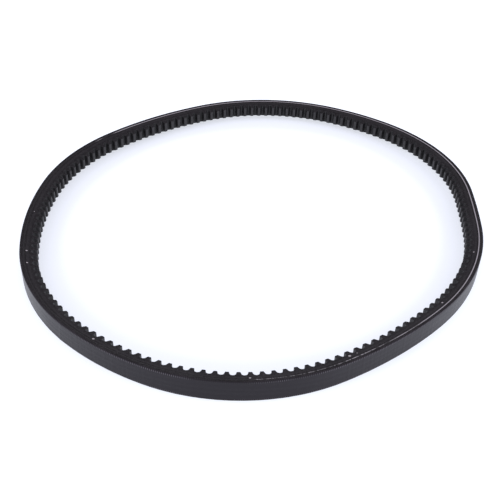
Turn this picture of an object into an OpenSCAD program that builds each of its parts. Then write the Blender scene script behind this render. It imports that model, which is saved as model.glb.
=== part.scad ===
// Raw-edge cogged V-belt, moulded as one endless ring and lying on its side.
// The loop runs counter-clockwise in the XY plane, and the belt's width runs along Z.
// Every ply is one cross-section swept round the loop, so the plies meet face to face.
// Depths are measured from the back of the belt, inwards to the crests of the cogs.

/* [Belt] */
// Width across the back
top_width = 13; // [12.5:0.5:14]
// Height from the back to the crests of the cogs
belt_height = 10; // [9.5:0.5:11]
// Angle between the two flanks, in degrees
wedge_angle = 36; // [34:1:40]

/* [Plies] */
// Thickness of each of the two plies of back fabric
fabric_ply = 0.45; // [0.35:0.05:0.5]
// Radius on the two corners of the back
back_corner = 0.3; // [0.1:0.05:0.3]
// Depth of the cord line
cord_depth = 2.2; // [2:0.1:2.4]
// Depth to which the adhesion rubber reaches
adhesion_depth = 3.4; // [3.2:0.1:3.8]
// Thickness of the fabric moulded over the cogs
facing = 0.4; // [0.3:0.05:0.5]

/* [Tension cord] */
// Diameter of the cord
cord_d = 1.2; // [1:0.1:1.3]
// Distance between neighbouring turns of the cord
turn_pitch = 1.4; // [1.35:0.01:1.42]
// Number of turns across the belt
turns = 9; // [7:2:9]

/* [Cogs] */
// Number of cogs round the loop
cog_count = 155; // [145:1:160]
// Height left between the back and the floor of a valley
web_height = 6.7; // [6.4:0.1:6.9]
// Radius of the floor of a valley
valley_r = 1.6; // [1.5:0.05:1.8]
// Lean of each side of a cog, in degrees
cog_lean = 11; // [8:1:12]
// Radius on the two corners of a crest
crest_r = 0.4; // [0.3:0.05:0.5]
// Place of the first valley along the loop, in cogs
first_valley = 0.7; // [0:0.01:0.99]

/* [Hidden] */
$fn = 360;
round_fn = 32;
cut_margin = 1;

// The relaxed ring keeps soft bends from its folded packing. These are the radii of the arcs
// round the loop at the cord line, each arc tangent to the next.
radii = [145.5, 567, 122, 173, 120.5, 240.5, 136.5, 220.5, 124.5, 167, 114.5, 258];
// The direction out of the loop where each arc starts. These unit vectors are the sides of
// right triangles such as 3-4-5 and 7-24-25, so every centre is a round number, neighbouring
// arcs meet exactly and the loop closes.
arc_starts = [
    [0.936, -0.352], [0.96, 0.28], [0.936, 0.352], [0.28, 0.96], [0, 1], [-0.8, 0.6],
    [-0.96, 0.28], [-0.96, -0.28], [-0.8, -0.6], [-0.28, -0.96], [0, -1], [0.8, -0.6]
];
// The arcs that reach furthest along X and Y, to either side.
x_ends = [0, 6];
y_ends = [3, 9];

arc_count = len(radii);
starts = concat(arc_starts, [arc_starts[0]]);
angles = [for (i = [0 : arc_count - 1]) turn(starts[i], starts[i + 1])];
lengths = [for (i = [0 : arc_count - 1]) radii[i] * angles[i] * PI / 180];
travel = [for (i = [0 : arc_count]) total(lengths, i)];
middle = [middle_between(x_ends, 0), middle_between(y_ends, 1)];
centres = [for (i = [0 : arc_count - 1]) centre_from_first(i) - middle];
cord_length = travel[arc_count];
outside_length = cord_length + 2 * PI * cord_depth;
cog_pitch = cord_length / cog_count;

land_depth = 2 * fabric_ply;
crest_x = cord_depth - belt_height;
valley_x = cord_depth - web_height - valley_r;
// How far past the crests the outline of a valley is drawn.
valley_overrun = 0.6;
// Flats meet the roundings at a shallow angle: they lie at these shares of the radius.
crossing = 0.995;
corner_crossing = 0.96;

cord_names = [for (i = [1 : turns]) str("tension_cord_", i)];

// Sum of a list's first n numbers.
function total(list, n) = n == 0 ? 0 : list[n - 1] + total(list, n - 1);

function direction(v) = atan2(v[1], v[0]);

// Counter-clockwise angle from one direction to another.
function turn(from, to) = direction([from * to, cross(from, to)]);

// Centre of an arc, counted from the centre of the first.
function centre_from_first(i) =
    i == 0 ? [0, 0] : centre_from_first(i - 1) + (radii[i - 1] - radii[i]) * starts[i];

// Middle of the loop along one axis, from the two arcs that reach furthest along it.
function middle_between(ends, axis) =
    (centre_from_first(ends[0])[axis] + radii[ends[0]] + centre_from_first(ends[1])[axis] - radii[ends[1]]) / 2;

// The arc that holds a place along the cord line.
function arc_at(place, i = 0) =
    i + 1 < arc_count && place >= travel[i + 1] ? arc_at(place, i + 1) : i;

// Half the belt's width at a depth: the back fabric is cut square, and the flanks lean in below it.
function half_width(depth) = top_width / 2 - max(0, depth - land_depth) * tan(wedge_angle / 2);

// Place of a turn of the cord across the belt's width.
function turn_place(i) = (i - (turns + 1) / 2) * turn_pitch;

// Sweeps a cross-section round the loop. X is the distance out from the cord line. Each arc is cut
// from a whole ring by its own sector, so that neighbouring arcs share the very same end face.
module sweep() {
    for (i = [0 : arc_count - 1])
        intersection() {
            translate(centres[i])
                rotate_extrude()
                    translate([radii[i], top_width / 2])
                        children();
            sector(i);
        }
}

// The sector of an arc, between the two directions that it starts and ends in.
module sector(i) {
    translate([0, 0, -2 * cut_margin])
        linear_extrude(top_width + 4 * cut_margin)
            polygon([
                centres[i],
                centres[i] + 2 * radii[i] * starts[i],
                centres[i] + 2 * radii[i] * starts[i + 1]
            ]);
}

// The belt's cross-section between two depths.
module section(from, to) {
    polygon([
        [cord_depth - from, -half_width(from)],
        [cord_depth - from, half_width(from)],
        [cord_depth - to, half_width(to)],
        [cord_depth - to, -half_width(to)]
    ]);
}

// A turn of the cord pressed into its bed, as twelve flats.
module cord_section(i) {
    translate([0, turn_place(i)])
        circle(d = cord_d, $fn = 12);
}

module all_cord_sections() {
    for (i = [1 : turns])
        cord_section(i);
}

// What the rounding takes off one corner of the back.
module back_corner_waste() {
    translate([cord_depth - back_corner, top_width / 2 - back_corner])
        difference() {
            square(back_corner + cut_margin);
            circle(r = back_corner, $fn = round_fn);
        }
}

// Outline of the space between two cogs in the XY plane, grown by a thickness on its walls. It
// ends just past the crests, clear of the spaces on both sides of it.
module valley_outline(grow) {
    r = valley_r + grow;
    reach = (valley_x - crest_x + valley_overrun) / cos(cog_lean);
    translate([valley_x, 0]) {
        circle(r = r, $fn = round_fn);
        for (side = [-1, 1])
            rotate(side * cog_lean)
                translate([-reach, -crossing * r])
                    square([reach, 2 * crossing * r]);
    }
}

// What the rounding takes off the two crest corners beside a valley.
module crest_corner_waste() {
    wall = [-cos(cog_lean), sin(cog_lean)];
    into_cog = [sin(cog_lean), cos(cog_lean)];
    from_axis = crossing * valley_r + corner_crossing * crest_r;
    rise = (valley_x + from_axis * sin(cog_lean) - crest_x - corner_crossing * crest_r) / cos(cog_lean);
    centre = [valley_x, 0] + from_axis * into_cog + rise * wall;
    inside = centre - 1.5 * crest_r * into_cog;
    for (side = [0, 1])
        mirror([0, side])
            difference() {
                polygon([centre, inside, inside + 1.2 * wall, centre - [1.2, 0]]);
                translate(centre)
                    circle(r = crest_r, $fn = round_fn);
            }
}

// Moves its children to each valley, with X pointing out of the loop.
module at_valleys() {
    for (i = [0 : cog_count - 1]) {
        place = (i + first_valley) * cog_pitch;
        a = arc_at(place);
        translate(centres[a])
            rotate(direction(starts[a]) + (place - travel[a]) / radii[a] * 180 / PI)
                translate([radii[a], 0, -cut_margin])
                    linear_extrude(top_width + 2 * cut_margin)
                        children();
    }
}

module back_fabric_outer() {
    color("#3b3b42")
        sweep()
            difference() {
                section(0, fabric_ply);
                back_corner_waste();
                mirror([0, 1])
                    back_corner_waste();
            }
}

module back_fabric_inner() {
    color("#2b2b30")
        sweep()
            section(fabric_ply, land_depth);
}

module cushion_rubber() {
    color("#201e20")
        sweep()
            difference() {
                section(land_depth, cord_depth);
                all_cord_sections();
            }
}

// One turn of the wound cord. The outermost turns are cut flush with the flanks.
module tension_cord(i) {
    color("#c9b8b0")
        sweep()
            intersection() {
                cord_section(i);
                section(land_depth, adhesion_depth);
            }
}

module adhesion_rubber() {
    color("#241f20")
        sweep()
            difference() {
                section(cord_depth, adhesion_depth);
                all_cord_sections();
            }
}

module cogged_rubber() {
    color("#1b1a1c")
        difference() {
            sweep()
                section(adhesion_depth, belt_height - facing);
            at_valleys()
                valley_outline(facing);
        }
}

// The fabric skin follows the crests, the sides and the floors of the cogs.
module cog_fabric() {
    top = web_height - facing - cut_margin / 2;
    color("#262427")
        difference() {
            sweep()
                section(top, belt_height);
            at_valleys() {
                valley_outline(0);
                crest_corner_waste();
            }
            difference() {
                sweep()
                    translate([crest_x + facing, -top_width / 2 - cut_margin])
                        square([belt_height - facing - top + cut_margin, top_width + 2 * cut_margin]);
                at_valleys()
                    valley_outline(facing);
            }
        }
}

back_fabric_outer();
back_fabric_inner();
cushion_rubber();
for (i = [1 : turns])
    tension_cord(i);
adhesion_rubber();
cogged_rubber();
cog_fabric();
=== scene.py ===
import bpy
import numpy as np
from mathutils import Matrix, Vector


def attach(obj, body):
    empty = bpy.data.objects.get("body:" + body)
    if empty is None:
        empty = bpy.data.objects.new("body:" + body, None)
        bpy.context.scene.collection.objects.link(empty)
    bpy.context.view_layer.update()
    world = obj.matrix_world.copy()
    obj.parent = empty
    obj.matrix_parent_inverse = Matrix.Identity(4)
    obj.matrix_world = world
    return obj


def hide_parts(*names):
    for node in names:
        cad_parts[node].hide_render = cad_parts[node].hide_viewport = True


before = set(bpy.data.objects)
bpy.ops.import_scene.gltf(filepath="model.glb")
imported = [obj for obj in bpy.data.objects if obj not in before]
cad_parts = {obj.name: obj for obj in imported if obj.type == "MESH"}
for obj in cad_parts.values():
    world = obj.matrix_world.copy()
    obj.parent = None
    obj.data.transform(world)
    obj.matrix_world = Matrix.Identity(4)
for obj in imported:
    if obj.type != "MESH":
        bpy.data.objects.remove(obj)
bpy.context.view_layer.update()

MM = 0.001

# ---------------------------------------------------------------- the belt's loop, in millimetres
# Twelve arcs at the cord line, each tangent to the next, and the directions in which they start
RADII = np.array([145.5, 567, 122, 173, 120.5, 240.5, 136.5, 220.5, 124.5, 167, 114.5, 258])
STARTS = np.array([
    (0.936, -0.352), (0.96, 0.28), (0.936, 0.352), (0.28, 0.96), (0, 1), (-0.8, 0.6),
    (-0.96, 0.28), (-0.96, -0.28), (-0.8, -0.6), (-0.28, -0.96), (0, -1), (0.8, -0.6),
    (0.936, -0.352),
])
START_ANGLES = np.unwrap(np.arctan2(STARTS[:, 1], STARTS[:, 0]))
ARC_LENGTHS = RADII * np.diff(START_ANGLES)
TRAVEL = np.concatenate([[0], np.cumsum(ARC_LENGTHS)])
LENGTH = TRAVEL[-1]

COG_COUNT = 155
PITCH = LENGTH / COG_COUNT
FIRST_VALLEY = 0.7

# Cross-section, by depth below the back
TOP_WIDTH = 13
BELT_HEIGHT = 10
PLY = 0.45
LAND_DEPTH = 2 * PLY
BACK_CORNER = 0.3
CORD_DEPTH = 2.2
ADHESION_DEPTH = 3.4
FACING = 0.4
CORD_D = 1.2
CORD_SIDES = 12
# Distance between the strands of the cord where the flank cuts them, and their slant in radians per mm
STRAND_PITCH = 1.3
STRAND_SLANT = 7.0
TURN_PITCH = 1.4
TURNS = 9
WEB_HEIGHT = 6.7
VALLEY_R = 1.6
CREST_R = 0.4
LEAN = np.radians(11)
FLANK_SLOPE = np.tan(np.radians(36 / 2))
CREST_X = CORD_DEPTH - BELT_HEIGHT
VALLEY_X = CORD_DEPTH - WEB_HEIGHT - VALLEY_R

# Points round the loop: the back and the cut cords are finer than the plies between them.
FINE_ROWS = 1860
PLAIN_ROWS = 930
# Nearer than this, two places across the belt are the same.
TOUCH = 1e-6
WAVES = 16


def loop_centres():
    centres = [np.zeros(2)]
    for i in range(1, len(RADII)):
        centres.append(centres[-1] + (RADII[i - 1] - RADII[i]) * STARTS[i])
    centres = np.array(centres)
    # The arcs that reach furthest along +X, -X, +Y and -Y put the loop's middle at the origin.
    middle_x = (centres[0, 0] + RADII[0] + centres[6, 0] - RADII[6]) / 2
    middle_y = (centres[3, 1] + RADII[3] + centres[9, 1] - RADII[9]) / 2
    return centres - (middle_x, middle_y)


CENTRES = loop_centres()


def half_width(depth):
    return TOP_WIDTH / 2 - np.maximum(0, depth - LAND_DEPTH) * FLANK_SLOPE


def place(s, depth, z):
    """Points of the belt, in metres, from the distance round the loop, the depth and the place across."""
    s, depth, z = np.broadcast_arrays(*(np.asarray(v, float) for v in (s, depth, z)))
    wrapped = np.mod(s, LENGTH)
    arc = np.clip(np.searchsorted(TRAVEL, wrapped, side="right") - 1, 0, len(RADII) - 1)
    angle = START_ANGLES[arc] + (wrapped - TRAVEL[arc]) / RADII[arc]
    reach = RADII[arc] + CORD_DEPTH - depth
    x = CENTRES[arc, 0] + reach * np.cos(angle)
    y = CENTRES[arc, 1] + reach * np.sin(angle)
    return np.stack([x, y, z + TOP_WIDTH / 2], -1) * MM


def radius_at(s):
    arc = np.clip(np.searchsorted(TRAVEL, np.mod(s, LENGTH), side="right") - 1, 0, len(RADII) - 1)
    return RADII[arc]


def ripple(s, low, high, seed):
    """Smooth unevenness round the loop, about 1 high, in whole numbers of waves."""
    rng = np.random.default_rng(seed)
    counts = rng.integers(low, high, WAVES)
    phases = rng.uniform(0, 2 * np.pi, WAVES)
    s = np.asarray(s, float)
    waves = np.sin(2 * np.pi * counts * s[..., None] / LENGTH + phases)
    return waves.sum(-1) / np.sqrt(WAVES)


def stations(count):
    return np.arange(count) * LENGTH / count


# ---------------------------------------------------------------- meshes
def ring_mesh(name, s, depth, z, extra=None):
    """A closed ring: rows go round the loop, and columns go round the cross-section.

    The three arrays have one row per station and one column per point of the cross-section.
    """
    s, depth, z = np.broadcast_arrays(s, depth, z)
    rows, cols = s.shape
    points = place(s, depth, z).reshape(-1, 3)
    i = np.arange(rows)[:, None]
    j = np.arange(cols)[None, :]
    i2 = (i + 1) % rows
    j2 = (j + 1) % cols
    quads = np.stack([i * cols + j, i * cols + j2, i2 * cols + j2, i2 * cols + j], -1).reshape(-1, 4)
    mesh = bpy.data.meshes.new(name)
    mesh.vertices.add(rows * cols)
    mesh.vertices.foreach_set("co", points.astype(np.float32).ravel())
    mesh.loops.add(quads.size)
    mesh.loops.foreach_set("vertex_index", quads.astype(np.int32).ravel())
    mesh.polygons.add(len(quads))
    mesh.polygons.foreach_set("loop_start", np.arange(0, quads.size, 4, dtype=np.int32))
    mesh.update(calc_edges=True)
    # The place on the belt in millimetres, per face corner, so that it doesn't jump at the last row.
    belt = np.stack([s, z, depth], -1).reshape(-1, 3)[quads]
    last = (quads[:, 0] // cols) == rows - 1
    belt[last, 2:, 0] += LENGTH
    layer = mesh.attributes.new("belt", "FLOAT_VECTOR", "CORNER")
    layer.data.foreach_set("vector", belt.astype(np.float32).ravel())
    for key, values in (extra or {}).items():
        layer = mesh.attributes.new(key, "FLOAT", "POINT")
        layer.data.foreach_set("value", np.broadcast_to(values, (rows, cols)).astype(np.float32).ravel())
    obj = bpy.data.objects.new(name, mesh)
    bpy.context.scene.collection.objects.link(obj)
    return obj


def smooth(obj, angle):
    """Smooth shading, with edges sharper than an angle in degrees left sharp."""
    mesh = obj.data
    mesh.shade_smooth()
    mesh.set_sharp_from_angle(angle=np.radians(angle))


def clip_to_flanks(outline):
    """Cuts a cross-section, a list of (depth, z), where it would stand out of the flanks."""
    for side in (-1, 1):
        kept = []
        for a, b in zip(outline, outline[1:] + outline[:1]):
            over_a, over_b = (side * p[1] - half_width(p[0]) for p in (a, b))
            if over_a <= 0:
                kept.append(a)
            if (over_a <= 0) != (over_b <= 0):
                t = over_a / (over_a - over_b)
                kept.append((a[0] + t * (b[0] - a[0]), a[1] + t * (b[1] - a[1])))
        outline = kept
    return outline


def split_edges(outline, longest):
    """Adds points along the edges of an outline that are longer than a length."""
    points = []
    for a, b in zip(outline, outline[1:] + outline[:1]):
        count = max(1, int(np.ceil(np.hypot(b[0] - a[0], b[1] - a[1]) / longest)))
        points += [
            (a[0] + (b[0] - a[0]) * k / count, a[1] + (b[1] - a[1]) * k / count) for k in range(count)
        ]
    return points


def cord_centres():
    return [(i - (TURNS - 1) / 2) * TURN_PITCH for i in range(TURNS)]


def cord_outline(centre, start, end, steps):
    """Part of a cord's twelve-sided section: angle 0 is across the belt, and 90 degrees is inwards."""
    angles = np.radians(np.linspace(start, end, steps + 1))
    return [(CORD_DEPTH + CORD_D / 2 * np.sin(a), centre + CORD_D / 2 * np.cos(a)) for a in angles]


# ---------------------------------------------------------------- materials
def new_node(tree, kind, inputs=None, **settings):
    node = tree.nodes.new(kind)
    for key, value in settings.items():
        setattr(node, key, value)
    for key, value in (inputs or {}).items():
        if isinstance(value, bpy.types.NodeSocket):
            tree.links.new(value, node.inputs[key])
        else:
            node.inputs[key].default_value = value
    return node


class Finish:
    """A material with short calls for the nodes that it is made of."""

    def __init__(self, name, specular):
        self.material = bpy.data.materials.new(name)
        self.material.use_nodes = True
        self.tree = self.material.node_tree
        self.tree.nodes.clear()
        self.shader = new_node(self.tree, "ShaderNodeBsdfPrincipled")
        self.shader.inputs["Specular IOR Level"].default_value = specular
        output = new_node(self.tree, "ShaderNodeOutputMaterial")
        self.tree.links.new(self.shader.outputs[0], output.inputs["Surface"])
        self.belt = new_node(self.tree, "ShaderNodeAttribute", attribute_name="belt").outputs["Vector"]
        split = new_node(self.tree, "ShaderNodeSeparateXYZ", {"Vector": self.belt})
        self.along, self.across, self.depth = split.outputs
        self.object = new_node(self.tree, "ShaderNodeTexCoord").outputs["Object"]

    def value(self, name):
        return new_node(self.tree, "ShaderNodeAttribute", attribute_name=name).outputs["Fac"]

    def math(self, operation, a, b=0.0, clamp=False):
        node = new_node(self.tree, "ShaderNodeMath", {0: a, 1: b}, operation=operation, use_clamp=clamp)
        return node.outputs[0]

    def vector(self, x=0.0, y=0.0, z=0.0):
        return new_node(self.tree, "ShaderNodeCombineXYZ", {"X": x, "Y": y, "Z": z}).outputs[0]

    def stretch(self, source, scale, turn=(0, 0, 0)):
        return new_node(
            self.tree, "ShaderNodeMapping", {"Vector": source, "Scale": scale, "Rotation": turn}
        ).outputs[0]

    def noise(self, source, scale=1.0, detail=2.0, roughness=0.5):
        return new_node(
            self.tree,
            "ShaderNodeTexNoise",
            {"Vector": source, "Scale": scale, "Detail": detail, "Roughness": roughness},
        ).outputs["Fac"]

    def ramp(self, source, low, high, to_low=0.0, to_high=1.0, smooth=True):
        return new_node(
            self.tree,
            "ShaderNodeMapRange",
            {"Value": source, "From Min": low, "From Max": high, "To Min": to_low, "To Max": to_high},
            interpolation_type="SMOOTHSTEP" if smooth else "LINEAR",
            clamp=True,
        ).outputs["Result"]

    def mix(self, factor, a, b):
        node = new_node(self.tree, "ShaderNodeMix", data_type="RGBA")
        for index, value in ((0, factor), (6, a), (7, b)):
            if isinstance(value, bpy.types.NodeSocket):
                self.tree.links.new(value, node.inputs[index])
            elif index:
                node.inputs[index].default_value = (*value, 1)
            else:
                node.inputs[index].default_value = value
        return node.outputs[2]

    def waves(self, period):
        """Sine waves along the belt, -1 to 1."""
        return self.math("SINE", self.math("MULTIPLY", self.along, 2 * np.pi / period))

    def weave(self, turn, period):
        """Threads crossing at a right angle, turned from the length of the belt. 0 to 1."""
        turned = self.stretch(self.vector(self.along, self.across), (1, 1, 1), (0, 0, turn))
        split = new_node(self.tree, "ShaderNodeSeparateXYZ", {"Vector": turned})
        k = 2 * np.pi / period
        a = self.math("SINE", self.math("MULTIPLY", split.outputs[0], k))
        b = self.math("SINE", self.math("MULTIPLY", split.outputs[1], k))
        return self.ramp(self.math("MULTIPLY", a, b), -1, 1, smooth=False)

    def set_colour(self, socket):
        self.tree.links.new(socket, self.shader.inputs["Base Color"])

    def set_roughness(self, socket):
        self.tree.links.new(socket, self.shader.inputs["Roughness"])

    def set_bump(self, height, depth_mm, strength=1.0):
        inputs = {"Height": height, "Distance": depth_mm * MM, "Strength": strength}
        bump = new_node(self.tree, "ShaderNodeBump", inputs)
        self.tree.links.new(bump.outputs[0], self.shader.inputs["Normal"])


# Distances between neighbouring threads of the fabric plies, along the belt
BACK_THREAD = 1.05
INNER_THREAD = 0.9


def back_finish():
    """Rubberised bias-woven fabric: a satin face, darker and duller towards its two edges."""
    f = Finish("back_fabric", specular=0.29)
    f.shader.inputs["Specular Tint"].default_value = (1.0, 0.93, 1.03, 1)
    weave = f.weave(np.radians(57), 0.62)
    streaks = f.noise(f.stretch(f.belt, (0.012, 1.3, 0)), 1.0, 4, 0.65)
    fine = f.noise(f.stretch(f.belt, (0.35, 4.0, 1.0)), 1.0, 2)
    patches = f.noise(f.object, 22, 3)
    edge = f.math("ABSOLUTE", f.across)
    wander = f.math("MULTIPLY", f.math("SUBTRACT", fine, 0.5), 0.8)
    worn = f.ramp(f.math("ADD", edge, wander), 4.6, 6.45)
    side = f.ramp(f.depth, 0.12, 0.3)
    tone = f.math("ADD", f.math("MULTIPLY", streaks, 0.55), f.math("MULTIPLY", patches, 0.45))
    base = f.mix(f.ramp(tone, 0.34, 0.66), (0.0018, 0.0013, 0.0021), (0.0050, 0.0038, 0.0057))
    base = f.mix(f.math("MULTIPLY", weave, 0.35), base, (0.0088, 0.0074, 0.0094))
    base = f.mix(f.math("MULTIPLY", worn, 0.85), base, (0.0040, 0.0033, 0.0038))
    # Pale ticks along the fabric's corner: thread ends where the corner is worn, with the corner's sheen
    # painted in as highlight.
    thread_end_sheen_ticks = f.ramp(f.waves(BACK_THREAD), 0.35, 0.95)
    band = f.math("MULTIPLY", f.ramp(edge, 5.1, 5.7), f.ramp(edge, 6.25, 6.45, 1.0, 0.5))
    thread_end_sheen_ticks = f.math("MULTIPLY", f.math("MULTIPLY", thread_end_sheen_ticks, band), f.ramp(patches, 0.42, 0.60, 0.1, 1.0))
    base = f.mix(f.math("MULTIPLY", thread_end_sheen_ticks, 0.9), base, (0.120, 0.110, 0.122))
    base = f.mix(side, base, (0.007, 0.0063, 0.0065))
    f.set_colour(base)
    rough = f.math("ADD", f.ramp(tone, 0.3, 0.7, 0.29, 0.41), f.math("MULTIPLY", worn, 0.18))
    rough = f.math("ADD", rough, f.math("MULTIPLY", side, 0.2), clamp=True)
    f.set_roughness(rough)
    f.set_bump(f.math("ADD", f.math("MULTIPLY", weave, 0.6), f.math("MULTIPLY", fine, 0.5)), 0.035, 0.8)
    return f.material


def ply_edge_finish(name, dark, light):
    """The cut edge of a fabric ply: short thread ends in black rubber."""
    f = Finish(name, specular=0.2)
    threads = f.noise(f.stretch(f.belt, (1.5, 1.0, 3.2)), 1.0, 2)
    cloud = f.noise(f.object, 61, 2)
    ends = f.ramp(f.waves(INNER_THREAD), 0.1, 0.9)
    ends = f.math("MULTIPLY", ends, f.ramp(cloud, 0.42, 0.6))
    tone = f.math("ADD", f.math("MULTIPLY", threads, 0.75), f.math("MULTIPLY", cloud, 0.25))
    base = f.mix(f.ramp(tone, 0.4, 0.72), dark, light)
    base = f.mix(f.math("MULTIPLY", ends, 0.6), base, (0.055, 0.052, 0.056))
    f.set_colour(base)
    f.set_roughness(f.ramp(threads, 0.3, 0.7, 0.92, 0.68))
    f.set_bump(threads, 0.04, 0.8)
    return f.material


# Pale specks on the upper flank, mostly crumbs; the one at 750 mm is a painted highlight, a glint on a
# cog. Each gives the place round the loop, the depth and the width, in millimetres.
SPECKS_AND_GLINT = [
    (5.0, 4.9, 1.2), (64.2, 4.9, 1.1), (655.0, 4.1, 1.3), (667.5, 3.9, 1.2), (750.0, 4.2, 1.5),
    (611.8, 4.2, 0.7), (837.5, 4.0, 1.3), (892.8, 5.3, 1.7), (897.5, 5.2, 0.7),
]


def flank_finish(name, dark, light, fleck_amount, specks_and_glint=()):
    """Ground raw-edge rubber: grinding marks along the belt, and short fibres cut across."""
    f = Finish(name, specular=0.18)
    marks = f.noise(f.stretch(f.belt, (0.16, 1.0, 5.0)), 1.0, 3, 0.6)
    grit = f.noise(f.belt, 3.4, 2)
    cloud = f.noise(f.object, 45, 3)
    blotches = f.math("ADD", f.math("MULTIPLY", grit, 0.25), f.math("MULTIPLY", cloud, 0.25))
    tone = f.math("ADD", f.math("MULTIPLY", marks, 0.5), blotches)
    base = f.mix(f.ramp(tone, 0.38, 0.62), dark, light)
    # Coarser blotches, where the grinding tore the rubber or smeared it
    mottle = f.noise(f.stretch(f.belt, (0.75, 1.0, 1.3)), 1.0, 2, 0.6)
    base = f.mix(f.ramp(mottle, 0.34, 0.48, 0.8, 0.0), base, (0.0022, 0.0010, 0.0009))
    base = f.mix(f.ramp(mottle, 0.52, 0.66, 0.0, 0.7), base, (0.0240, 0.0210, 0.0212))
    # Just inside the cord the grinding left the rubber a little paler.
    pale = f.math("MULTIPLY", f.ramp(f.depth, 3.5, 4.1), f.ramp(f.depth, 4.6, 5.6, 0.45, 0.0))
    base = f.mix(pale, base, (0.021, 0.0195, 0.020))
    ends = f.noise(f.stretch(f.belt, (2.2, 1.0, 2.2)), 1.7, 1)
    base = f.mix(f.ramp(ends, 0.70, 0.80, 0, fleck_amount), base, (0.16, 0.14, 0.13))
    # Pale spots painted on the flank: crumbs, and at 750 mm a painted highlight.
    if specks_and_glint:
        upper = f.math("GREATER_THAN", f.across, 0.0)
        ragged = f.math("MULTIPLY", f.math("SUBTRACT", grit, 0.5), 0.5)
        for place_s, depth, width in specks_and_glint:
            away = f.math("SUBTRACT", f.along, place_s)
            below = f.math("SUBTRACT", f.depth, depth)
            squared = f.math("ADD", f.math("MULTIPLY", away, away), f.math("MULTIPLY", below, below))
            distance = f.math("SQRT", squared)
            spot = f.ramp(f.math("ADD", distance, ragged), 0.32 * width, 0.52 * width, 1.0, 0.0)
            base = f.mix(f.math("MULTIPLY", spot, upper), base, (0.33, 0.31, 0.30))
    f.set_colour(base)
    f.set_roughness(f.ramp(tone, 0.35, 0.65, 0.86, 0.66))
    f.set_bump(f.math("ADD", marks, f.math("MULTIPLY", grit, 0.6)), 0.03, 0.7)
    return f.material


def cord_finish():
    """Ground-through polyester cord: pale pinkish strands, smeared over with rubber in places, and painted
    brighter on some stretches of the loop and darker on others as highlight and shade.
    """
    f = Finish("tension_cord", specular=0.35)
    turns = f.math("MULTIPLY", f.along, 2 * np.pi / STRAND_PITCH)
    lay = f.math("SINE", f.math("ADD", turns, f.math("MULTIPLY", f.depth, STRAND_SLANT)))
    fuzz = f.noise(f.stretch(f.belt, (0.6, 1.0, 3.0)), 1.0, 3, 0.6)
    long_smear = f.noise(f.stretch(f.belt, (0.09, 1.0, 0.3)), 1.0, 2)
    strands = f.math("ADD", f.math("MULTIPLY", fuzz, 0.6), f.math("MULTIPLY", long_smear, 0.6))
    # Painted highlight and shade: the cord shows brighter on some stretches of the loop and darker on
    # others.
    show = f.math("ADD", strands, f.value("cord_lit"))
    # The grinding laid the strands bare at the middle of the cut, on its side nearer the back.
    level = f.math("SUBTRACT", f.depth, f.value("drift"))
    core = f.math("MULTIPLY", f.ramp(level, 1.88, 2.0), f.ramp(level, 2.28, 2.52, 1.0, 0.0))
    show = f.ramp(f.math("ADD", show, f.math("MULTIPLY", lay, 0.05)), 0.78, 1.12)
    beads = f.ramp(f.noise(f.stretch(f.belt, (0.42, 0.0, 0.0)), 1.0, 1), 0.44, 0.54, 0.12, 1.0)
    unbroken = f.mix(f.value("beaded"), (1, 1, 1), (0, 0, 0))
    gaps = f.math("MAXIMUM", beads, unbroken)
    show = f.math("MULTIPLY", show, f.ramp(core, 0, 1, 0.12, 1.0))
    show = f.math("MULTIPLY", show, gaps)
    base = f.mix(show, (0.0030, 0.0022, 0.0023), (0.315, 0.30, 0.30))
    f.set_colour(base)
    f.set_roughness(f.ramp(fuzz, 0.3, 0.7, 0.85, 0.62))
    f.set_bump(f.math("ADD", f.math("MULTIPLY", lay, 0.3), fuzz), 0.05, 0.8)
    return f.material


def buried_cord_finish():
    """Cord inside the belt, which only a cut would show."""
    f = Finish("buried_cord", specular=0.35)
    twist = f.noise(f.stretch(f.object, (1, 1, 2)), 900, 2)
    f.set_colour(f.mix(f.ramp(twist, 0.35, 0.65), (0.20, 0.16, 0.15), (0.42, 0.35, 0.33)))
    f.set_roughness(f.ramp(twist, 0.3, 0.7, 0.85, 0.65))
    f.set_bump(twist, 0.08)
    return f.material


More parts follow.
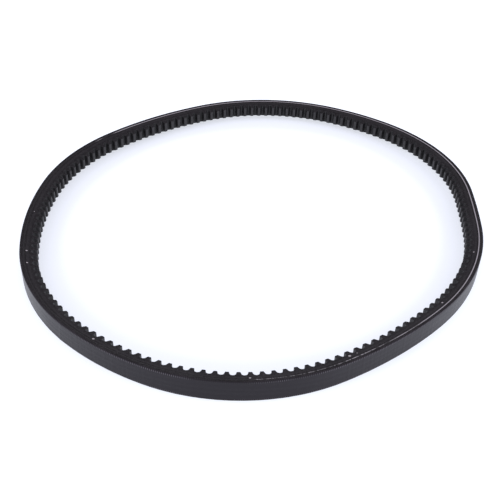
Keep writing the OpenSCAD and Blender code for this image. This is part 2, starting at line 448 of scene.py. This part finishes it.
def cog_finish():
    """Thin fabric moulded over the cogs, paler on the crests and their corners: rubbed a little, and
    painted paler still as highlight where the light catches them.
    """
    f = Finish("cog_fabric", specular=0.42)
    weave = f.weave(np.radians(45), 0.7)
    fine = f.noise(f.stretch(f.belt, (1.2, 1.2, 1.2)), 1.0, 3)
    cloud = f.noise(f.object, 40, 3)
    crest_rub_and_highlight = f.ramp(f.depth, 8.9, 9.95)
    corner = f.value("corner")
    tone = f.math("ADD", f.math("MULTIPLY", fine, 0.55), f.math("MULTIPLY", cloud, 0.45))
    base = f.mix(f.ramp(tone, 0.36, 0.64), (0.0050, 0.0046, 0.0050), (0.0100, 0.0092, 0.0100))
    # Painted highlight: the crests, and most of all their rounded corners, are made paler where the light
    # catches them, with a little rubbing as well.
    base = f.mix(f.math("MULTIPLY", crest_rub_and_highlight, 0.5), base, (0.020, 0.0192, 0.0199))
    base = f.mix(f.math("MULTIPLY", corner, f.ramp(fine, 0.3, 0.6, 0.2, 0.8)), base, (0.046, 0.044, 0.045))
    base = f.mix(f.math("MULTIPLY", weave, 0.22), base, (0.020, 0.0195, 0.020))
    # The flanks cut the fabric's edge off flush, and it is as dull there as the rubber.
    wide_at_back = TOP_WIDTH / 2 + LAND_DEPTH * FLANK_SLOPE
    wide = f.math("SUBTRACT", wide_at_back, f.math("MULTIPLY", f.depth, FLANK_SLOPE))
    edge = f.ramp(f.math("SUBTRACT", f.math("ABSOLUTE", f.across), wide), -0.16, -0.06)
    base = f.mix(edge, base, (0.0052, 0.0046, 0.0048))
    f.set_colour(base)
    rough = f.ramp(tone, 0.35, 0.65, 0.58, 0.42)
    f.set_roughness(f.math("ADD", rough, f.math("MULTIPLY", edge, 0.3), clamp=True))
    f.set_bump(f.math("ADD", f.math("MULTIPLY", weave, 0.8), f.math("MULTIPLY", fine, 0.4)), 0.03, 0.7)
    return f.material


def dress(obj, material, slot, *nodes):
    """Gives a piece its material, and lets it stand for its CAD nodes. Its slot is not used."""
    obj.data.materials.clear()
    obj.data.materials.append(material)
    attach(obj, "root")
    if nodes:
        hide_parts(*nodes)
    return obj


# ---------------------------------------------------------------- back
def splice_step(s, z, centre, slant, height, rise=0.5, fall=9.0):
    """Thickness added by a lap of the fabric: it rises sharply at its edge and dies away gently."""
    d = s - centre - slant * z
    up = np.clip((d + rise / 2) / rise, 0, 1)
    up = up * up * (3 - 2 * up)
    down = 1 - np.clip(d / fall, 0, 1)
    return height * up * down * down


# Laps of the back fabric: the place round the loop, the slant across the belt and the height
SPLICES = [(330.0, 0.35, 0.14), (727.3, 0.2, 0.12)]


def make_back():
    s = stations(FINE_ROWS)[:, None]
    w = TOP_WIDTH / 2
    corner = BACK_CORNER
    flat = np.linspace(w - corner, -(w - corner), 27)
    bends = np.radians([22, 45, 67])
    right = [(corner - corner * np.sin(a), w - corner + corner * np.cos(a)) for a in bends]
    left = [(depth, -z) for depth, z in reversed(right)]
    outline = [(PLY, w), (corner, w)] + right + [(0, z) for z in flat] + left + [(corner, -w), (PLY, -w)]
    inner = [(PLY, z) for z in np.linspace(-w, w, 6)[1:-1]]
    depth = np.array([p[0] for p in outline + inner])[None, :]
    z = np.array([p[1] for p in outline + inner])[None, :]
    outer = (depth < PLY - TOUCH).astype(float) * (1 - depth / PLY)
    swell = 0.018 * ripple(s, 4, 40, 11) + 0.010 * ripple(s, 150, 420, 12)
    cross = 0.012 * np.sin(z * 1.9 + 3 * ripple(s, 3, 9, 13))
    lift = outer * (swell + cross * (1 - (z / w) ** 2))
    for centre, slant, height in SPLICES:
        lift = lift + outer * splice_step(s, z, centre, slant, height)
    edge_wear = (np.abs(z) > w - corner - 0.01) * outer
    z2 = z - np.sign(z) * edge_wear * 0.03 * (1 + ripple(s, 60, 300, 14))
    obj = ring_mesh("back_cover", s + 0 * z, depth - lift, z2)
    smooth(obj, 50)
    return dress(obj, back_finish(), "back_fabric", "back_fabric_outer")


def strip(name, outline, material, slot, node, seed, rough=0.015):
    """A ply with one cross-section all the way round, with slightly uneven cut edges."""
    s = stations(PLAIN_ROWS)[:, None]
    depth = np.array([p[0] for p in outline])[None, :]
    z = np.array([p[1] for p in outline])[None, :]
    on_flank = np.abs(np.abs(z) - half_width(depth)) < TOUCH
    side = np.sign(z)
    uneven = ripple(s + depth * 7 + side * 31, 200, 460, seed)
    z2 = z - side * on_flank * rough * (1 + uneven)
    obj = ring_mesh(name, s + 0 * z, depth + 0 * s, z2)
    smooth(obj, 30)
    return dress(obj, material, slot, node)


def make_inner_ply():
    w = TOP_WIDTH / 2
    outline = split_edges([(PLY, w), (PLY, -w), (LAND_DEPTH, -w), (LAND_DEPTH, w)], 2.5)
    material = ply_edge_finish("inner_fabric", (0.0050, 0.0045, 0.0047), (0.016, 0.0143, 0.0143))
    return strip("inner_ply", outline, material, "inner_fabric", "back_fabric_inner", 21, rough=0.02)


def grooved_outline(top_depth, grooves_inwards):
    """A ply of rubber with the cords half sunk into one face."""
    end = 180 if grooves_inwards else -180
    points = []
    for centre in reversed(cord_centres()):
        points += cord_outline(centre, 0, end, CORD_SIDES // 2)
    wide = TOP_WIDTH
    outline = [(top_depth, -wide), (top_depth, wide), (CORD_DEPTH, wide)] + points + [(CORD_DEPTH, -wide)]
    return clip_to_flanks(outline)


def make_cushion():
    material = flank_finish("cushion_rubber", (0.0050, 0.0045, 0.0046), (0.0120, 0.0105, 0.0105), 0.15)
    outline = grooved_outline(LAND_DEPTH, False)
    return strip("cushion_ply", outline, material, "gum_rubber", "cushion_rubber", 31)


def make_adhesion():
    material = flank_finish("adhesion_rubber", (0.0032, 0.0027, 0.0027), (0.0086, 0.0073, 0.0072), 0.2)
    outline = grooved_outline(ADHESION_DEPTH, True)
    return strip("adhesion_ply", outline, material, "gum_rubber", "adhesion_rubber", 41)


def make_cut_cord(name, node, side, material, seed):
    """An outermost turn of cord, ground through by the flank and standing slightly proud of it."""
    centre = side * cord_centres()[-1]
    whole = cord_outline(centre, 0, 360, CORD_SIDES)[:-1]
    cut = clip_to_flanks(whole)
    on_flank = [abs(abs(z) - half_width(d)) < TOUCH for d, z in cut]
    first = next(i for i in range(len(cut)) if on_flank[i] and on_flank[(i + 1) % len(cut)])
    cut = cut[first:] + cut[:first]
    a, b = np.array(cut[0]), np.array(cut[1])
    face = [tuple(a + (b - a) * t) for t in (0, 0.2, 0.4, 0.6, 0.8)]
    crown = np.array([0, 0.7, 1, 1, 0.7, 0] + [0] * (len(cut) - 2))
    outline = face + cut[1:]
    s = stations(FINE_ROWS)[:, None]
    depth = np.array([p[0] for p in outline])[None, :]
    z = np.array([p[1] for p in outline])[None, :]
    strands = np.sin(2 * np.pi * np.round(LENGTH / STRAND_PITCH) * s / LENGTH + depth * STRAND_SLANT)
    proud = crown * (0.045 + 0.015 * strands + 0.015 * ripple(s, 60, 400, seed))
    values = {"cord_lit": lit_cord_amount(s, side), "beaded": beaded_cord(s), "drift": along_loop(DRIFT_PLACES, s)}
    obj = ring_mesh(name, s + 0 * z, depth + 0 * s, z + side * proud, values)
    smooth(obj, 50)
    return dress(obj, material, "cord", node)


# How brightly the cut cord shows, from 0 to 1, at places along the loop in millimetres: painted highlight
# where it is brighter, painted shade where it is darker.
CORD_LIT_PLACES = [
    (0, 0.68), (50, 0.8), (140, 0.85), (190, 0.6), (280, 0.75), (360, 0.8), (470, 0.6), (515, 0.15),
    (560, -0.2), (720, -0.25), (780, -0.2), (832, -0.1), (845, 0.3), (880, 0.4), (905, 0.5), (930, 0.34),
]
# How far the bared strands wander inwards across the cut, at places along the loop, both in millimetres
DRIFT_PLACES = [(0, 0), (20, 0.02), (70, 0.3), (190, 0.3), (250, 0.2), (470, 0.2), (520, 0.05)]


def along_loop(places, s):
    """Values in between those given at some places round the loop, the first of them at 0."""
    places = places + [(LENGTH, places[0][1])]
    return np.interp(np.mod(s, LENGTH), [p[0] for p in places], [p[1] for p in places])


# The cord's painted highlight and shade round the loop, with a little unevenness on each side.
def lit_cord_amount(s, side):
    return along_loop(CORD_LIT_PLACES, s) + 0.08 * ripple(s, 5, 60, 77 if side > 0 else 78)


def beaded_cord(s):
    """Where smeared rubber breaks the line of the cord into beads, from 0 to 1."""
    wrapped = np.mod(s, LENGTH)
    return np.clip((wrapped - 835) / 12, 0, 1) * np.clip((925 - wrapped) / 20, 0, 1)


# ---------------------------------------------------------------- cogs
def valley_profile():
    """Half of the space between two cogs, from its floor to the crest, with X out of the loop.

    Returns the outside of the fabric and the matching points of its bonded face.
    """
    wall = np.array([-np.cos(LEAN), np.sin(LEAN)])
    into_cog = np.array([np.sin(LEAN), np.cos(LEAN)])
    floor_angles = np.linspace(0, np.pi / 2 - LEAN, 7)
    outer = [np.array([VALLEY_X + VALLEY_R * np.cos(a), VALLEY_R * np.sin(a)]) for a in floor_angles]
    inner = [
        np.array([VALLEY_X + (VALLEY_R + FACING) * np.cos(a), (VALLEY_R + FACING) * np.sin(a)])
        for a in floor_angles
    ]
    reach = VALLEY_R + CREST_R
    base = np.array([VALLEY_X, 0]) + reach * into_cog
    rise = (base[0] - CREST_X - CREST_R) / np.cos(LEAN)
    centre = base + rise * wall
    wall_foot, wall_top = outer[-1], centre - CREST_R * into_cog
    outer += [wall_foot + (wall_top - wall_foot) * t for t in (0.5, 1.0)]
    corner_angles = np.linspace(LEAN, np.pi / 2, 4)[1:]
    outer += [centre + CREST_R * np.array([-np.sin(a), -np.cos(a)]) for a in corner_angles]
    # The bonded face turns a sharp corner under the rounded one.
    inner_foot = inner[-1]
    inner_rise = (inner_foot[0] - CREST_X - FACING) / np.cos(LEAN)
    inner_corner = inner_foot + inner_rise * wall
    inner += [inner_foot + (inner_corner - inner_foot) * t for t in (0.5, 0.96)]
    inner += [inner_corner + np.array([0, 1]) * t for t in (0.0, 0.03, 0.06)]
    return np.array(outer), np.array(inner)


def cog_outline():
    """Both faces of the fabric round the whole loop: (s, depth) of the outside and of the bonded face."""
    outer, inner = valley_profile()
    both = []
    for half in (outer, inner):
        # Every valley takes the curvature of its own stretch of the loop.
        valleys = (np.arange(COG_COUNT) + FIRST_VALLEY) * PITCH
        radius = radius_at(valleys)[:, None]
        mirrored = np.concatenate([half[:0:-1] * [1, -1], half])
        x, y = mirrored[None, :, 0], mirrored[None, :, 1]
        s = valleys[:, None] + radius * np.arctan2(y, radius + x)
        depth = CORD_DEPTH - (np.hypot(radius + x, y) - radius)
        # One more point, in the middle of the crest. The profile's ends lie on the crest as well: one
        # point of the outside, and the three points of the bonded face under the rounded corner.
        middle = valleys[:, None] + PITCH / 2
        crest_depth = np.full_like(middle, BELT_HEIGHT if half is outer else BELT_HEIGHT - FACING)
        ends = 3 if half is inner else 1
        depth[:, -ends:] = crest_depth
        depth[:, :ends] = crest_depth
        both.append((np.concatenate([s, middle], 1), np.concatenate([depth, crest_depth], 1)))
    return both


def make_cogs():
    (outer_s, outer_depth), (inner_s, inner_depth) = cog_outline()
    per_cog = outer_s.shape[1]
    outer_s, outer_depth = outer_s.reshape(-1, 1), outer_depth.reshape(-1, 1)
    inner_s, inner_depth = inner_s.reshape(-1, 1), inner_depth.reshape(-1, 1)
    across = np.linspace(1, -1, 17)[None, :]

    # Fabric: the outside from one flank to the other, then the bonded face back again
    rub = 0.02 * ripple(outer_s, 20, 200, 51)
    swell = rub + 0.012 * np.sin(across * 9 + outer_s * 0.7)
    depth_out = outer_depth + swell * (1 - across**4)
    w_out = half_width(depth_out)
    fray = 0.02 * (1 + ripple(outer_s * 3.1 + 5, 200, 420, 52))
    z_out = across * (w_out - fray * (np.abs(across) > 0.99))
    inner_across = np.array([-1, -0.33, 0.33, 1])[None, :]
    z_in = inner_across * half_width(inner_depth)
    s_all = np.concatenate([outer_s + 0 * across, inner_s + 0 * inner_across], 1)
    depth_all = np.concatenate([depth_out, inner_depth + 0 * inner_across], 1)
    z_all = np.concatenate([z_out, z_in], 1)
    # How far each point lies on the rounded corner of a crest, which is rubbed a little and painted paler
    # as highlight
    corner_rub_and_highlight_half = np.zeros(len(valley_profile()[0]))
    corner_rub_and_highlight_half[-4:] = [0.25, 0.5, 1.0, 0.7]
    corner = np.concatenate([corner_rub_and_highlight_half[:0:-1], corner_rub_and_highlight_half, [0.0]])
    corner = np.tile(corner, COG_COUNT)[:, None]
    fabric = ring_mesh("cog_cover", s_all, depth_all, z_all, {"corner": corner + 0 * s_all})
    smooth(fabric, 50)
    dress(fabric, cog_finish(), "cog_fabric", "cog_fabric")

    # Rubber: both flanks in rows from the adhesion rubber down to the bonded face of the fabric.
    # The rows start evenly spaced and end at the points of the fabric.
    rows = np.linspace(0, 1, 8)
    cog_index = np.arange(len(inner_s)) // per_cog
    column = np.arange(len(inner_s)) % per_cog
    even = (cog_index + FIRST_VALLEY + (column + 0.5) / per_cog - 0.5) * PITCH
    top_s = even[:, None]
    top_s = np.where(np.abs(top_s - inner_s) < PITCH, top_s, inner_s)
    s_flank = top_s + (inner_s - top_s) * rows
    depth_flank = ADHESION_DEPTH + (inner_depth - ADHESION_DEPTH) * rows
    relief = 0.018 * (1 + ripple(s_flank + depth_flank * 11, 200, 450, 61)) * np.sin(np.pi * rows) ** 0.5
    z_right = half_width(depth_flank) - relief
    z_left = -half_width(depth_flank) + relief
    s_all = np.concatenate([s_flank, s_flank[:, ::-1]], 1)
    depth_all = np.concatenate([depth_flank, depth_flank[:, ::-1]], 1)
    z_all = np.concatenate([z_right, z_left[:, ::-1]], 1)
    rubber = ring_mesh("cog_rubber", s_all, depth_all, z_all)
    smooth(rubber, 30)
    dark, light = (0.0044, 0.0040, 0.0043), (0.0112, 0.0099, 0.0103)
    dress(rubber, flank_finish("cog_rubber", dark, light, 0.25, SPECKS_AND_GLINT), "cog_rubber", "cogged_rubber")


def dress_buried_cords():
    """The turns between the outermost two keep their CAD meshes."""
    material = buried_cord_finish()
    for i in range(2, TURNS):
        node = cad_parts["tension_cord_%d" % i]
        node.data.materials.clear()
        node.data.materials.append(material)


# ---------------------------------------------------------------- stage
def make_floor():
    half = 6.0
    corners = [(-half, -half, 0), (half, -half, 0), (half, half, 0), (-half, half, 0)]
    mesh = bpy.data.meshes.new("floor")
    mesh.from_pydata(corners, [], [(0, 1, 2, 3)])
    floor = bpy.data.objects.new("floor", mesh)
    # Just clear of the belt's lower flank
    floor.location.z = -0.0003
    bpy.context.scene.collection.objects.link(floor)
    material = bpy.data.materials.new("floor_white")
    material.use_nodes = True
    shader = material.node_tree.nodes["Principled BSDF"]
    shader.inputs["Base Color"].default_value = (0.33, 0.35, 0.36, 1)
    shader.inputs["Roughness"].default_value = 0.9
    shader.inputs["Specular IOR Level"].default_value = 0.1
    # A glowing table top, which leaves hardly any shadow around the belt; near the belt its glow is dimmed
    # into a faint cool halo, a painted shadow.
    shader.inputs["Emission Color"].default_value = (0.955, 0.99, 1.07, 1)
    tree = material.node_tree
    # The painted halo follows the belt: distance from an oval with these half axes, in metres
    oval_x, oval_y = 0.141, 0.159
    here = new_node(tree, "ShaderNodeTexCoord").outputs["Object"]
    oval = new_node(tree, "ShaderNodeMapping", {"Vector": here, "Scale": (1 / oval_x, 1 / oval_y, 0)})
    length = new_node(tree, "ShaderNodeVectorMath", {0: oval.outputs[0]}, operation="LENGTH")
    away = new_node(tree, "ShaderNodeMath", {0: length.outputs["Value"], 1: 0.93}, operation="SUBTRACT")
    away = new_node(tree, "ShaderNodeMath", {0: away.outputs[0]}, operation="ABSOLUTE")
    glow_with_painted_halo = new_node(
        tree,
        "ShaderNodeMapRange",
        {"Value": away.outputs[0], "From Min": 0.03, "From Max": 0.16, "To Min": 0.62, "To Max": 0.84},
        interpolation_type="SMOOTHSTEP",
    )
    tree.links.new(glow_with_painted_halo.outputs["Result"], shader.inputs["Emission Strength"])
    mesh.materials.append(material)


# The tint of the lights and the ceiling
COOL = (1.0, 0.965, 1.13)


def make_light(name, location, aim, size, power):
    data = bpy.data.lights.new(name, "AREA")
    data.shape = "SQUARE"
    data.size = size
    data.color = COOL
    data.energy = power
    light = bpy.data.objects.new(name, data)
    light.location = location
    light.rotation_euler = (Vector(aim) - Vector(location)).to_track_quat("-Z", "Y").to_euler()
    bpy.context.scene.collection.objects.link(light)


def make_lights():
    world = bpy.data.worlds.new("studio")
    world.use_nodes = True
    background = world.node_tree.nodes["Background"]
    background.inputs["Strength"].default_value = 0.85
    # A wall as white as the floor stands all round, low down, and the ceiling is a little darker.
    tree = world.node_tree
    sky = new_node(tree, "ShaderNodeTexCoord").outputs["Generated"]
    split = new_node(tree, "ShaderNodeSeparateXYZ", {"Vector": sky})
    height = new_node(
        tree,
        "ShaderNodeMapRange",
        {"Value": split.outputs["Z"], "From Min": 0.02, "From Max": 0.3},
        interpolation_type="SMOOTHSTEP",
    )
    blend = new_node(tree, "ShaderNodeMix", {0: height.outputs["Result"]}, data_type="RGBA")
    blend.inputs[6].default_value = (1.2, 1.2, 1.22, 1)
    blend.inputs[7].default_value = (*COOL, 1)
    tree.links.new(blend.outputs[2], background.inputs["Color"])
    bpy.context.scene.world = world
    make_light("key", (-0.9, -0.5, 1.1), (0, 0, 0), 0.9, 5)
    make_light("fill", (1.0, 0.3, 0.8), (0, 0, 0), 0.9, 4)


def make_camera():
    """The photograph's view: aimed at a point on the floor from 36 degrees above it."""
    aim = Vector((0.01098, -0.03442, 0))
    distance = 0.468
    elevation, turn, roll = np.radians([35.9, 22.86, 2.30])
    ahead = np.cos(elevation)
    forward = Vector((-np.sin(turn) * ahead, np.cos(turn) * ahead, -np.sin(elevation)))
    level_right = Vector((np.cos(turn), np.sin(turn), 0))
    level_up = level_right.cross(forward)
    right = np.cos(roll) * level_right + np.sin(roll) * level_up
    up = -np.sin(roll) * level_right + np.cos(roll) * level_up
    data = bpy.data.cameras.new("camera")
    data.lens = 53.25
    data.sensor_width = 36
    data.clip_start = 0.01
    data.clip_end = 30
    camera = bpy.data.objects.new("camera", data)
    location = aim - distance * forward
    camera.matrix_world = Matrix(
        [
            [right[0], up[0], -forward[0], location[0]],
            [right[1], up[1], -forward[1], location[1]],
            [right[2], up[2], -forward[2], location[2]],
            [0, 0, 0, 1],
        ]
    )
    bpy.context.scene.collection.objects.link(camera)
    bpy.context.scene.camera = camera


make_back()
make_inner_ply()
make_cushion()
make_adhesion()
CORD_MATERIAL = cord_finish()
make_cut_cord("cut_cord_lower", "tension_cord_1", -1, CORD_MATERIAL, 71)
make_cut_cord("cut_cord_upper", "tension_cord_%d" % TURNS, 1, CORD_MATERIAL, 72)
make_cogs()
dress_buried_cords()
make_floor()
make_lights()
make_camera()
bpy.context.scene.view_settings.view_transform = "Standard"
